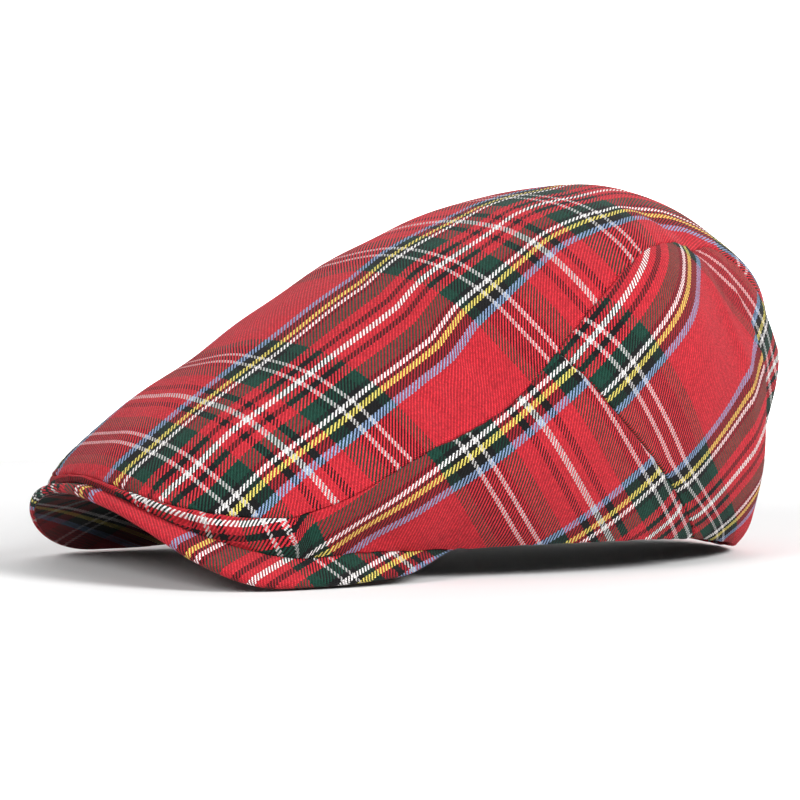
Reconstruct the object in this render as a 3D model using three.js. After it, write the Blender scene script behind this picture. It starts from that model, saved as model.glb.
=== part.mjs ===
import * as THREE from "three";

// Flat cap in woven cloth. Millimetres, +Z up, the peak points to -Y and the wearer's left is +X.
// The crown is one long top panel, which hangs over the back as a rounded tongue, and on each side
// a side panel and a back panel that meet on a slanting seam. The front of the crown is sewn down on
// a stiff arched peak. A sweatband lines the head opening and a slack lining closes the crown inside.

// ---- thicknesses and clearances
const CLOTH = 1.6;
const PEAK_THICKNESS = 3.5;
const BAND_THICKNESS = 1.0;
const LINING_THICKNESS = 1.0;
const GAP = 0.3;
const SAME_POINT = 1e-6;

// ---- head opening, an ellipse with its long axis from front to back
const OPENING = { y: 24, halfWidth: 76.5, halfLength: 107 };
const JOINT_Y = -20;            // where the hem of the crown runs on to the peak
const OPENING_TURN_FRONT = Math.asin((JOINT_Y - OPENING.y) / OPENING.halfLength);
const JOINT_X = OPENING.halfWidth * Math.cos(OPENING_TURN_FRONT);

// ---- hem: it lies on the surface at the back and arches clear of it at the sides
const HEM = { rise: 12.5, middleY: 20, restY: 124, power: 2.6 };

// ---- peak: a piece of a cylinder lying along Y, which sinks a little towards its tails
const PEAK = {
  archRadius: 132.3, halfWidth: 84.5, cornerY: -91.5, reach: 48.5, squareness: 2.3,
  frontShare: 0.6, tailX: 72.5, tailBend: 3, tailSink: 3,
};
const ARCH_CENTRE_DROP = Math.sqrt(PEAK.archRadius ** 2 - PEAK.halfWidth ** 2);
const PEAK_CORNER_DEPTH = (PEAK_THICKNESS * ARCH_CENTRE_DROP) / PEAK.archRadius;
const CREST_Z = PEAK.archRadius - ARCH_CENTRE_DROP + PEAK_CORNER_DEPTH;   // its corners stand at z = 0

// ---- front edge of the crown, from its middle round to the front corner
const FRONT = { y: -135, depth: 50, footX: 77, roundness: 0.975, squareness: 2.6 };

// ---- flank of the crown's lower edge, from the front corner in to the joint
const FLANK = { cornerHandle: 24, cornerBow: 1.5, jointHandle: 16 };

// ---- top panel: a row for each cross section, from the front edge to the tip of the tongue
const RIBS = [
  { at: 0.00, midY: -135, midZ: 36.5, seamX: 75, seamY: -85, seamZ: 24.5, dome: 1.9, dip: 3.0, sweep: 0.975 },
  { at: 0.08, midY: -116, midZ: 50.5, seamX: 79, seamY: -72, seamZ: 30.0, dome: 2.1, dip: 1.5, sweep: 0.90 },
  { at: 0.18, midY: -90, midZ: 69, seamX: 82, seamY: -56, seamZ: 37.5, dome: 2.2, dip: 0, sweep: 0.75 },
  { at: 0.30, midY: -60, midZ: 91.5, seamX: 86, seamY: -34, seamZ: 50.0, dome: 2.4, dip: 0, sweep: 0.60 },
  { at: 0.42, midY: -28, midZ: 108.5, seamX: 89, seamY: -8, seamZ: 63.5, dome: 2.5, dip: 0, sweep: 0.50 },
  { at: 0.53, midY: 6, midZ: 120.5, seamX: 88, seamY: 14, seamZ: 85.0, dome: 2.5, dip: 0, sweep: 0.40 },
  { at: 0.64, midY: 38, midZ: 130.5, seamX: 81, seamY: 38, seamZ: 106, dome: 2.4, dip: 0, sweep: 0.40 },
  { at: 0.75, midY: 68, midZ: 136, seamX: 65, seamY: 66, seamZ: 118.5, dome: 2.2, dip: 0, sweep: 0.40 },
  { at: 0.84, midY: 94, midZ: 131, seamX: 43, seamY: 94, seamZ: 116, dome: 2.0, dip: 0, sweep: 0.40 },
  { at: 0.92, midY: 118, midZ: 118, seamX: 35.5, seamY: 110.5, seamZ: 111, dome: 2.0, dip: 0, sweep: 0.50 },
  { at: 0.97, midY: 134, midZ: 99, seamX: 31, seamY: 127.5, seamZ: 95.5, dome: 2.0, dip: 0, sweep: 0.60 },
  { at: 1.00, midY: 139.5, midZ: 76, seamX: 22.5, seamY: 137, seamZ: 80, dome: 2.0, dip: 0, sweep: 0.60 },
];

// ---- walls: how a section leaves the hem and how it turns over into the top panel
const WALL_SECTIONS = [
  { at: 0.00, lean: 0, foot: 1.5, shoulder: 1.5 },
  { at: 0.10, lean: 5, foot: 3, shoulder: 3 },
  { at: 0.20, lean: 15, foot: 6, shoulder: 6 },
  { at: 0.30, lean: 30, foot: 12, shoulder: 10 },
  { at: 0.41, lean: 38, foot: 20, shoulder: 14 },
  { at: 0.52, lean: 34, foot: 28, shoulder: 18 },
  { at: 0.64, lean: 28, foot: 36, shoulder: 24 },
  { at: 0.76, lean: 27, foot: 41, shoulder: 28 },
  { at: 0.86, lean: 28, foot: 42, shoulder: 28 },
  { at: 0.94, lean: 15, foot: 26, shoulder: 15 },
  { at: 1.00, lean: 10, foot: 22, shoulder: 10 },
];

// ---- stations round the crown, 0 at the middle of the front and 1 at the middle of the back
const AT_CORNER = 0.20;         // the front corner
const AT_JOINT = 0.41;          // where the hem leaves the peak
const AT_TONGUE = 0.93;         // the shoulder of the tongue
const HEM_BLEND = 0.08;
const LIP = { fadesFrom: 0.12, fadesOver: 0.12, outward: 0.45, down: 0.9 };
const SLANT_SEAM = { cellsBehindCorner: 17, hem: 0.718, bend: 2.6 };

// ---- folds pressed into the cloth: centre, heading in degrees, half length, half width, depth
const FOLDS = [
  { x: 43, y: 84, heading: 62, length: 17, width: 7, depth: 2.6 },
  { x: 66, y: -22, heading: 75, length: 22, width: 6, depth: 1.0 },
  { x: 74, y: -4, heading: 75, length: 20, width: 6, depth: 1.0 },
];

// ---- inside
const BAND = { height: 30, lift: 1.2, blend: 24 };
const LINING = { apexY: 40, apexZ: 119, fullness: 1.55 };

// ---- cells of each piece, which set how fine its facets are
const CELLS = {
  halfTop: 12, topLength: 33, side: 7, back: 9,
  peakAcross: 28, peakDeep: 6, ring: 48, lining: 7,
};

// ---------------------------------------------------------------- small helpers
const vec = (x, y, z) => new THREE.Vector3(x, y, z);
const radians = THREE.MathUtils.degToRad;
const clamp = THREE.MathUtils.clamp;
const mix = THREE.MathUtils.lerp;

function smooth(x) {
  const t = clamp(x, 0, 1);
  return t * t * (3 - 2 * t);
}

// Natural cubic spline through one column of a table, as a function of its "at" column.
function columnSpline(rows, column) {
  const at = rows.map((row) => row.at);
  const value = rows.map((row) => row[column]);
  const last = rows.length - 1;
  const bend = new Array(rows.length).fill(0);
  const pivot = new Array(rows.length).fill(0);
  for (let i = 1; i < last; i += 1) {
    const before = at[i] - at[i - 1];
    const after = at[i + 1] - at[i];
    const slopeChange = (value[i + 1] - value[i]) / after - (value[i] - value[i - 1]) / before;
    const diagonal = 2 * (before + after) - before * pivot[i - 1];
    pivot[i] = after / diagonal;
    bend[i] = (6 * slopeChange - before * bend[i - 1]) / diagonal;
  }
  for (let i = last - 1; i > 0; i -= 1) {
    bend[i] -= pivot[i] * bend[i + 1];
  }
  return (x) => {
    let i = 0;
    while (i < last - 1 && x > at[i + 1]) {
      i += 1;
    }
    const span = at[i + 1] - at[i];
    const a = (at[i + 1] - x) / span;
    const b = (x - at[i]) / span;
    const cubic = (a ** 3 - a) * bend[i] + (b ** 3 - b) * bend[i + 1];
    return a * value[i] + b * value[i + 1] + (cubic * span * span) / 6;
  };
}

// Every column of a table as a spline: the result maps a station to a row.
function tableSpline(rows) {
  const columns = Object.keys(rows[0]).filter((name) => name !== "at");
  const splines = columns.map((name) => columnSpline(rows, name));
  return (x) => Object.fromEntries(columns.map((name, i) => [name, splines[i](x)]));
}

// The greatest value of a * a * (1 - a) is 4 / 27, so this scales it to 1.
const DIP_SCALE = 27 / 4;

// 0 at the middle and 1 at the edge of a section, rising like the corner of a rounded square.
function sweepShare(u, roundness, squareness) {
  const rise = (a) => 1 - (1 - a ** squareness) ** (1 / squareness);
  return rise(roundness * u) / rise(roundness);
}

// ---------------------------------------------------------------- top panel surface
const ribAt = tableSpline(RIBS);

function foldDepth(x, y) {
  let depth = 0;
  for (const fold of FOLDS) {
    const turn = radians(fold.heading);
    const dx = x - fold.x;
    const dy = y - fold.y;
    const along = (dx * Math.cos(turn) + dy * Math.sin(turn)) / fold.length;
    const across = (dy * Math.cos(turn) - dx * Math.sin(turn)) / fold.width;
    depth += fold.depth * Math.exp(-along * along - across * across);
  }
  return depth;
}

// u runs across, -1 to 1 from seam to seam, and v from the front edge to the tip of the tongue.
function topPoint(u, v) {
  const rib = ribAt(v);
  const side = Math.abs(u);
  const x = rib.seamX * u;
  const y = rib.midY + (rib.seamY - rib.midY) * sweepShare(side, rib.sweep, FRONT.squareness);
  const dome = (rib.midZ - rib.seamZ) * (1 - side ** rib.dome);
  const dip = rib.dip * DIP_SCALE * side * side * (1 - side);
  return vec(x, y, rib.seamZ + dome - dip - foldDepth(Math.abs(x), y));
}

function normalOf(surface, a, b, stepA, stepB) {
  const alongA = surface(a + stepA, b).sub(surface(a - stepA, b));
  const alongB = surface(a, b + stepB).sub(surface(a, b - stepB));
  return alongA.cross(alongB).normalize();
}

const PROBE = 0.002;

function topNormal(u, v) {
  const insideU = clamp(u, -1 + 2 * PROBE, 1 - 2 * PROBE);
  const insideV = clamp(v, PROBE, 1 - PROBE);
  return normalOf(topPoint, insideU, insideV, PROBE, PROBE);
}

// ---------------------------------------------------------------- seam, hem and peak lines
// The place on the top panel of a station on its edge.
function edgePlace(s) {
  if (s < AT_CORNER) {
    return [s / AT_CORNER, 0];
  }
  if (s < AT_TONGUE) {
    return [1, (s - AT_CORNER) / (AT_TONGUE - AT_CORNER)];
  }
  return [(1 - s) / (1 - AT_TONGUE), 1];
}

const seamPoint = (s) => topPoint(...edgePlace(s));

function archZ(x, y) {
  const drop = PEAK.archRadius - Math.sqrt(PEAK.archRadius ** 2 - x * x);
  const tail = clamp((y - PEAK.cornerY) / (JOINT_Y - PEAK.cornerY), 0, 1);
  return CREST_Z - drop - PEAK.tailSink * tail ** 4;
}

function archNormal(x) {
  const lean = x / PEAK.archRadius;
  return vec(lean, 0, Math.sqrt(1 - lean * lean));
}

function hemZ(y) {
  const reach = HEM.restY - HEM.middleY;
  return HEM.rise * (1 - Math.min(1, Math.abs((y - HEM.middleY) / reach)) ** HEM.power);
}

// Height of the crown's lower edge: on the peak in front, at the hem behind the joint.
function footZ(x, y, s) {
  const onPeak = archZ(x, y) + GAP;
  return mix(onPeak, hemZ(y), smooth((s - AT_JOINT) / HEM_BLEND));
}

function flank() {
  const corner = new THREE.Vector2(FRONT.footX, FRONT.y + FRONT.depth);
  const joint = new THREE.Vector2(JOINT_X, JOINT_Y);
  const alongOpening = new THREE.Vector2(
    -OPENING.halfWidth * Math.sin(OPENING_TURN_FRONT),
    OPENING.halfLength * Math.cos(OPENING_TURN_FRONT),
  ).setLength(FLANK.jointHandle);
  const fromCorner = corner.clone().add(new THREE.Vector2(FLANK.cornerBow, FLANK.cornerHandle));
  return new THREE.CubicBezierCurve(corner, fromCorner, joint.clone().sub(alongOpening), joint);
}

const flankCurve = flank();

// Plan of the crown's lower edge, from the middle of the front round to the middle of the back.
function footPlan(s) {
  if (s < AT_CORNER) {
    const u = s / AT_CORNER;
    const share = sweepShare(u, FRONT.roundness, FRONT.squareness);
    return [FRONT.footX * u, FRONT.y + FRONT.depth * share];
  }
  if (s < AT_JOINT) {
    return flankCurve.getPoint((s - AT_CORNER) / (AT_JOINT - AT_CORNER)).toArray();
  }
  const share = (s - AT_JOINT) / (1 - AT_JOINT);
  const turn = mix(OPENING_TURN_FRONT, Math.PI / 2, share);
  return [OPENING.halfWidth * Math.cos(turn), OPENING.y + OPENING.halfLength * Math.sin(turn)];
}

function footPoint(s) {
  const [x, y] = footPlan(s);
  return vec(x, y, footZ(x, y, s));
}

function lineDirection(line, s) {
  const from = Math.max(0, s - PROBE);
  const to = Math.min(1, s + PROBE);
  return line(to).sub(line(from)).normalize();
}

// Level direction that points out of the crown at the hem.
function footOutward(s) {
  const along = lineDirection(footPoint, s);
  return vec(along.y, -along.x, 0).normalize();
}

// ---------------------------------------------------------------- wall surface
const wallSectionAt = tableSpline(WALL_SECTIONS);

// 1 on the low upright lip in front, fading to 0 where the wall turns smoothly into the top panel.
const lipShare = (s) => 1 - smooth((s - LIP.fadesFrom) / LIP.fadesOver);

// w runs from 0 at the hem to 1 at the seam of the top panel.
function wallPoint(s, w) {
  const section = wallSectionAt(s);
  const foot = footPoint(s);
  const seam = seamPoint(s);
  const outward = footOutward(s);
  const lean = radians(section.lean);
  const rise = outward.clone().multiplyScalar(Math.sin(lean)).add(vec(0, 0, Math.cos(lean)));
  const overTheEdge = lineDirection(seamPoint, s).cross(topNormal(...edgePlace(s))).normalize();
  const downTheLip = outward.multiplyScalar(LIP.outward).add(vec(0, 0, -LIP.down)).normalize();
  const fall = overTheEdge.lerp(downTheLip, lipShare(s)).normalize();
  const p1 = foot.clone().addScaledVector(rise, section.foot);
  const p2 = seam.clone().addScaledVector(fall, section.shoulder);
  return foot.multiplyScalar((1 - w) ** 3)
    .addScaledVector(p1, 3 * w * (1 - w) ** 2)
    .addScaledVector(p2, 3 * w * w * (1 - w))
    .addScaledVector(seam, w ** 3);
}

function wallNormal(s, w) {
  const inside = clamp(s, PROBE, 1 - PROBE);
  const normal = normalOf(wallPoint, inside, clamp(w, PROBE, 1 - PROBE), PROBE, PROBE);
  if (s <= PROBE || s >= 1 - PROBE) {
    normal.x = 0;
  }
  return normal.normalize();
}

// Least cosine allowed between a panel and the direction that it turns in on a seam.
const SHARPEST_TURN = 0.6;

// On the seam both pieces turn inwards along one shared direction, so that they never cross.
function seamInward(s) {
  const top = topNormal(...edgePlace(s));
  const wall = wallNormal(s, 1);
  const shared = top.clone().add(wall).normalize();
  if (s <= PROBE || s >= 1 - PROBE) {
    shared.x = 0;
    shared.normalize();
  }
  const depth = CLOTH / Math.max(SHARPEST_TURN, shared.dot(top));
  return shared.multiplyScalar(-depth);
}

function topInward(u, v) {
  const side = Math.abs(u);
  let inward;
  if (v === 0) {
    inward = seamInward(side * AT_CORNER);
  } else if (v === 1) {
    inward = seamInward(1 - side * (1 - AT_TONGUE));
  } else if (side === 1) {
    inward = seamInward(mix(AT_CORNER, AT_TONGUE, v));
  } else {
    inward = topNormal(side, v).multiplyScalar(-CLOTH);
  }
  inward.x *= u < 0 ? -1 : 1;
  return inward;
}

// At the hem the inner edge is level with the outer one, or follows the peak under it.
function footInward(s) {
  const foot = footPoint(s);
  const inner = foot.clone().addScaledVector(footOutward(s), -CLOTH);
  inner.z = footZ(inner.x, inner.y, s);
  return inner.sub(foot);
}

function wallInward(s, w) {
  if (w === 1) {
    return seamInward(s);
  }
  if (w === 0) {
    return footInward(s);
  }
  const acrossLip = footInward(s).lerp(seamInward(s), w);
  return wallNormal(s, w).multiplyScalar(-CLOTH).lerp(acrossLip, lipShare(s));
}

// ---------------------------------------------------------------- closed shells
// A closed solid from two grids of points, its outer and its inner face. A shell that closes on
// itself joins its last column to its first.
function shellGeometry(outer, inner, cellsA, cellsB, closesInA = false) {
  const columns = closesInA ? cellsA : cellsA + 1;
  const rows = cellsB + 1;
  const points = [...outer, ...inner];
  const faces = [];
  const at = (layer, a, b) => layer * columns * rows + (a % columns) * rows + b;
  const apart = (p, q) => points[p].distanceTo(points[q]) > SAME_POINT;
  const triangle = (p, q, r) => {
    if (apart(p, q) && apart(q, r) && apart(r, p)) {
      faces.push([p, q, r]);
    }
  };
  const quad = (p, q, r, t) => {
    triangle(p, q, r);
    triangle(p, r, t);
  };
  const otherQuad = (p, q, r, t) => {
    triangle(p, q, t);
    triangle(q, r, t);
  };
  for (let a = 0; a < cellsA; a += 1) {
    const cell = a < cellsA / 2 ? otherQuad : quad;     // facets mirrored about the middle
    for (let b = 0; b < cellsB; b += 1) {
      cell(at(0, a, b), at(0, a + 1, b), at(0, a + 1, b + 1), at(0, a, b + 1));
      cell(at(1, a + 1, b), at(1, a, b), at(1, a, b + 1), at(1, a + 1, b + 1));
    }
    cell(at(0, a, 0), at(1, a, 0), at(1, a + 1, 0), at(0, a + 1, 0));
    cell(at(0, a + 1, cellsB), at(1, a + 1, cellsB), at(1, a, cellsB), at(0, a, cellsB));
  }
  if (!closesInA) {
    for (let b = 0; b < cellsB; b += 1) {
      quad(at(0, 0, b), at(0, 0, b + 1), at(1, 0, b + 1), at(1, 0, b));
      quad(at(0, cellsA, b), at(1, cellsA, b), at(1, cellsA, b + 1), at(0, cellsA, b + 1));
    }
  }
  let volume = 0;
  for (const [p, q, r] of faces) {
    volume += points[p].dot(points[q].clone().cross(points[r]));
  }
  const order = volume > 0 ? [0, 1, 2] : [0, 2, 1];
  const geometry = new THREE.BufferGeometry();
  const positions = points.flatMap((p) => p.toArray());
  geometry.setAttribute("position", new THREE.Float32BufferAttribute(positions, 3));
  geometry.setIndex(faces.flatMap((face) => order.map((i) => face[i])));
  geometry.computeVertexNormals();
  return geometry;
}

// Draws the rim of a grid of points in by half the gap, so that neighbouring panels stay clear.
function trimRim(points, cellsA, cellsB) {
  const at = (a, b) => points[a * (cellsB + 1) + b];
  const pull = (edge, next) => edge.addScaledVector(next.clone().sub(edge).normalize(), GAP / 2);
  for (let a = 0; a <= cellsA; a += 1) {
    pull(at(a, cellsB), at(a, cellsB - 1));
  }
  for (let b = 0; b <= cellsB; b += 1) {
    pull(at(0, b), at(1, b));
    pull(at(cellsA, b), at(cellsA - 1, b));
  }
}

// A cloth panel. place(a, b) gives its outer point and the step to its inner point.
function clothPanel(place, stationsA, stationsB, trimFoot) {
  const cellsA = stationsA.length - 1;
  const cellsB = stationsB.length - 1;
  const outer = [];
  const inner = [];
  for (const a of stationsA) {
    for (const b of stationsB) {
      const [point, inward] = place(a, b);
      outer.push(point);
      inner.push(point.clone().add(inward));
    }
  }
  for (const layer of [outer, inner]) {
    trimRim(layer, cellsA, cellsB);
    if (trimFoot) {
      for (let a = 0; a <= cellsA; a += 1) {
        const edge = layer[a * (cellsB + 1)];
        edge.addScaledVector(layer[a * (cellsB + 1) + 1].clone().sub(edge).normalize(), GAP / 2);
      }
    }
  }
  return shellGeometry(outer, inner, cellsA, cellsB);
}

const mirrored = (geometry) => {
  const copy = geometry.clone();
  copy.scale(-1, 1, 1);
  const index = copy.getIndex();
  for (let i = 0; i < index.count; i += 3) {
    const swap = index.getX(i + 1);
    index.setX(i + 1, index.getX(i + 2));
    index.setX(i + 2, swap);
  }
  copy.computeVertexNormals();
  return copy;
};

// ---------------------------------------------------------------- the pieces
function evenly(from, to, cells) {
  return Array.from({ length: cells + 1 }, (_, i) => mix(from, to, i / cells));
}

// Stations along the seam of the top panel, shared by the panels on both of its sides.
const SEAM_STATIONS = [
  ...evenly(0, AT_CORNER, CELLS.halfTop),
  ...evenly(AT_CORNER, AT_TONGUE, CELLS.topLength).slice(1),
  ...evenly(AT_TONGUE, 1, CELLS.halfTop).slice(1),
];
const SLANT_INDEX = CELLS.halfTop + SLANT_SEAM.cellsBehindCorner;
const SLANT_TOP = SEAM_STATIONS[SLANT_INDEX];

const slantStation = (w) => mix(SLANT_TOP, SLANT_SEAM.hem, (1 - w) ** SLANT_SEAM.bend);

function topPanel() {
  const place = (u, v) => [topPoint(u, v), topInward(u, v)];
  return clothPanel(place, evenly(-1, 1, 2 * CELLS.halfTop), evenly(0, 1, CELLS.topLength), true);
}

// From the middle of the front round to the slanting seam.
function sidePanel() {
  const shares = SEAM_STATIONS.slice(0, SLANT_INDEX + 1).map((s) => s / SLANT_TOP);
  const place = (share, w) => {
    const s = share * slantStation(w);
    return [wallPoint(s, w), wallInward(s, w)];
  };
  return clothPanel(place, shares, evenly(0, 1, CELLS.side), false);
}

// From the slanting seam round to the middle of the back.
function backPanel() {
  const shares = SEAM_STATIONS.slice(SLANT_INDEX).map((s) => (s - SLANT_TOP) / (1 - SLANT_TOP));
  const place = (share, w) => {
    const s = mix(slantStation(w), 1, share);
    return [wallPoint(s, w), wallInward(s, w)];
  };
  return clothPanel(place, shares, evenly(0, 1, CELLS.back), false);
}

// Outer edge of the peak: a squared half ellipse in front, then a flank in to the tail.
function peakEdge(t) {
  if (t < PEAK.frontShare) {
    const turn = (t / PEAK.frontShare) * (Math.PI / 2);
    const power = 2 / PEAK.squareness;
    const y = PEAK.cornerY - PEAK.reach * Math.cos(turn) ** power;
    return [PEAK.halfWidth * Math.sin(turn) ** power, y];
  }
  const back = (t - PEAK.frontShare) / (1 - PEAK.frontShare);
  const x = mix(PEAK.halfWidth, PEAK.tailX, back ** PEAK.tailBend);
  return [x, mix(PEAK.cornerY, JOINT_Y, back)];
}

function openingPlan(turn, inset) {
  const x = (OPENING.halfWidth - inset) * Math.cos(turn);
  return [x, OPENING.y + (OPENING.halfLength - inset) * Math.sin(turn)];
}

function peak() {
  const cellsA = CELLS.peakAcross;
  const cellsB = CELLS.peakDeep;
  const top = [];
  const bottom = [];
  for (let a = 0; a <= cellsA; a += 1) {
    const across = (2 * a) / cellsA - 1;
    const hand = across < 0 ? -1 : 1;
    const t = Math.abs(across);
    const [edgeX, edgeY] = peakEdge(t);
    const [inX, inY] = openingPlan(mix(-Math.PI / 2, OPENING_TURN_FRONT, t), CLOTH + GAP);
    for (let b = 0; b <= cellsB; b += 1) {
      const x = hand * mix(inX, edgeX, b / cellsB);
      const y = mix(inY, edgeY, b / cellsB);
      const point = vec(x, y, archZ(x, y));
      const normal = archNormal(x);
      const down = b === 0 ? vec(0, 0, 1 / normal.z) : normal;    // upright face at the opening
      top.push(point);
      bottom.push(point.clone().addScaledVector(down, -PEAK_THICKNESS));
    }
  }
  return shellGeometry(top, bottom, cellsA, cellsB);
}

// Lower edge of the sweatband: just above the hem, and level with the peak's underside in front.
function bandFootZ(x, y) {
  const behind = hemZ(y) + BAND.lift;
  const front = archZ(x, y) - PEAK_THICKNESS;
  return mix(front, behind, smooth((y - JOINT_Y) / BAND.blend + 0.5));
}

function sweatband() {
  const outset = CLOTH + 2 * GAP;
  const ring = (inset) => {
    const points = [];
    for (let a = 0; a < CELLS.ring; a += 1) {
      const turn = (2 * Math.PI * a) / CELLS.ring;
      const [x, y] = openingPlan(turn, inset);
      const foot = bandFootZ(x, y);
      points.push(vec(x, y, foot), vec(x, y, foot + BAND.height));
    }
    return points;
  };
  return shellGeometry(ring(outset), ring(outset + BAND_THICKNESS), CELLS.ring, 1, true);
}

// A slack bag that stands on the top edge of the sweatband and rises under the crown.
function lining() {
  const inset = CLOTH + 2 * GAP;
  const layer = (drop) => {
    const points = [];
    for (let a = 0; a < CELLS.ring; a += 1) {
      const turn = (2 * Math.PI * a) / CELLS.ring;
      const [rimX, rimY] = openingPlan(turn, inset + drop);
      const rimZ = bandFootZ(rimX, rimY) + BAND.height + GAP;
      for (let b = 0; b <= CELLS.lining; b += 1) {
        const out = 1 - b / CELLS.lining;
        const rise = 1 - out ** LINING.fullness;
        const y = mix(LINING.apexY, rimY, out);
        points.push(vec(rimX * out, y, mix(rimZ, LINING.apexZ - drop, rise)));
      }
    }
    return points;
  };
  return shellGeometry(layer(0), layer(LINING_THICKNESS), CELLS.ring, CELLS.lining, true);
}

// ---------------------------------------------------------------- assembly
const cloth = (color) => new THREE.MeshStandardMaterial({ color, roughness: 0.9, metalness: 0 });
const tartanRed = 0xc23a45;
const bandBlack = 0x16161a;
const liningBlack = 0x1c1c20;

const cap = new THREE.Group();

function addPiece(name, geometry, color) {
  const mesh = new THREE.Mesh(geometry, cloth(color));
  mesh.name = name;
  cap.add(mesh);
}

const side = sidePanel();
const back = backPanel();
addPiece("top_panel", topPanel(), tartanRed);
addPiece("side_panel_left", side, tartanRed);
addPiece("side_panel_right", mirrored(side), tartanRed);
addPiece("back_panel_left", back, tartanRed);
addPiece("back_panel_right", mirrored(back), tartanRed);
addPiece("peak", peak(), tartanRed);
addPiece("sweatband", sweatband(), bandBlack);
addPiece("lining", lining(), liningBlack);

export default cap;
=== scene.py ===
"""Tartan flat cap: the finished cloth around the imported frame.

The frame is in metres, +Z up, with the peak towards -Y and the wearer's left at +X. The shapes
below are worked out in millimetres, from nearly the same sizes as the CAD pieces, and each mesh
is turned into metres as it is made.
"""
import math

import bpy
import numpy as np
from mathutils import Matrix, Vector


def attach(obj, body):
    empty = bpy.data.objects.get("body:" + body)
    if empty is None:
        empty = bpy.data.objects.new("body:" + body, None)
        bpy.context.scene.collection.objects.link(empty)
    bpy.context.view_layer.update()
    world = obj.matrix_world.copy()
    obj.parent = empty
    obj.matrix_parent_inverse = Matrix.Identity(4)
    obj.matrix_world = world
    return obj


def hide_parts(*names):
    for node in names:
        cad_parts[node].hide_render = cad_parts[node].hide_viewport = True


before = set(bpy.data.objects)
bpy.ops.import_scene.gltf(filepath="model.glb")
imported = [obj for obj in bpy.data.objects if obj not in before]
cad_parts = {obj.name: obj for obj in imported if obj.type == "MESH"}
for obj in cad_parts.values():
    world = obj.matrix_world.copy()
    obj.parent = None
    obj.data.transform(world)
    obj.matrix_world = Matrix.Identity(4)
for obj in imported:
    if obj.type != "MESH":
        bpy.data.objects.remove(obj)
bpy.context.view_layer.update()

MM = 0.001
UP = np.array([0.0, 0.0, 1.0])

# ---------------------------------------------------------------- sizes
# They start from the CAD source's. The hem's curve, the foot line, the crown's front sections
# and the peak's tails are finished here by a few millimetres more.
CLOTH = 1.6
PEAK_THICKNESS = 3.5
GAP = 0.3
OPENING_Y, OPENING_HALF_WIDTH, OPENING_HALF_LENGTH = 24.0, 76.5, 107.0
JOINT_Y = -20.0
TURN_FRONT = math.asin((JOINT_Y - OPENING_Y) / OPENING_HALF_LENGTH)
JOINT_X = OPENING_HALF_WIDTH * math.cos(TURN_FRONT)
HEM_RISE, HEM_MIDDLE_Y, HEM_REST_Y, HEM_POWER = 11.4, 20.0, 132.0, 2.8
ARCH_RADIUS, PEAK_HALF_WIDTH, PEAK_CORNER_Y = 132.3, 84.5, -91.5
PEAK_REACH, PEAK_SQUARENESS, PEAK_FRONT_SHARE = 48.5, 2.3, 0.6
PEAK_TAIL_X, PEAK_TAIL_BEND, PEAK_TAIL_SINK = 72.5, 3, 3
ARCH_CENTRE_DROP = math.sqrt(ARCH_RADIUS ** 2 - PEAK_HALF_WIDTH ** 2)
CREST_Z = ARCH_RADIUS - ARCH_CENTRE_DROP + PEAK_THICKNESS * ARCH_CENTRE_DROP / ARCH_RADIUS
FRONT_Y, FRONT_DEPTH, FRONT_FOOT_X = -135.0, 50.0, 74.5
FRONT_ROUNDNESS, FRONT_SQUARENESS = 0.975, 2.6
CORNER_HANDLE, CORNER_BOW, JOINT_HANDLE = 24.0, 1.5, 16.0
FLANK_SWELL, FLANK_AT, FLANK_SPREAD = 3.5, 0.345, 0.055
AT_CORNER, AT_JOINT, AT_TONGUE, HEM_BLEND = 0.20, 0.41, 0.93, 0.08
LIP_FROM, LIP_OVER, LIP_OUTWARD, LIP_DOWN = 0.12, 0.12, 0.45, 0.9
SLANT_TOP, SLANT_HEM, SLANT_BEND = 0.576, 0.712, 2.9
BAND_HEIGHT, BAND_LIFT, BAND_BLEND = 30.0, 1.2, 24.0
LINING_APEX_Y, LINING_APEX_Z, LINING_FULLNESS = 40.0, 119.0, 1.55
DIP_SCALE = 27 / 4

# Sections of the top panel:
# at, midY, midZ, seamX, seamY, seamZ, dome, dip, sweep
RIBS = np.array([
    (0.00, -135, 37.0, 76, -87, 25.0, 3.0, 3.0, 0.975),
    (0.08, -119, 51.5, 80, -72, 30.0, 2.7, 1.5, 0.92),
    (0.18, -91, 70, 83, -56, 38.0, 2.5, 0, 0.75),
    (0.30, -60, 90, 86, -34, 50.0, 2.4, 0, 0.60),
    (0.42, -28, 108.5, 89, -8, 63.5, 2.5, 0, 0.50),
    (0.53, 6, 123.5, 88, 14, 85.0, 2.5, 0, 0.40),
    (0.64, 38, 133, 81, 38, 106, 2.4, 0, 0.40),
    (0.75, 68, 136, 65, 66, 118.5, 2.2, 0, 0.40),
    (0.84, 94, 131, 43, 94, 116, 2.0, 0, 0.40),
    (0.92, 118, 118, 35.5, 110.5, 111, 2.0, 0, 0.50),
    (0.97, 134, 99, 31, 127.5, 95.5, 2.0, 0, 0.60),
    (1.00, 139.5, 76, 22.5, 137, 80, 2.0, 0, 0.60),
])

# Sections of the walls: at, lean in degrees, foot handle, shoulder handle
WALL_SECTIONS = np.array([
    (0.00, 0, 1.5, 1.5),
    (0.10, 5, 3, 3),
    (0.20, 15, 6, 6),
    (0.30, 30, 12, 10),
    (0.41, 38, 20, 14),
    (0.52, 34, 28, 18),
    (0.64, 28, 36, 24),
    (0.76, 27, 41, 28),
    (0.86, 28, 42, 28),
    (0.94, 15, 26, 15),
    (1.00, 10, 22, 10),
])

# Folds pressed into the top: x, y, heading in degrees, half length, half width, depth
FOLDS = [
    (43, 84, 62, 17, 7, 2.6),
    (77, -34, 35, 8, 2.8, 1.0),
    (76, -26, 16, 7, 2.5, 0.8),
    (75, -15, 22, 8, 3.0, 1.0),
]

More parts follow.
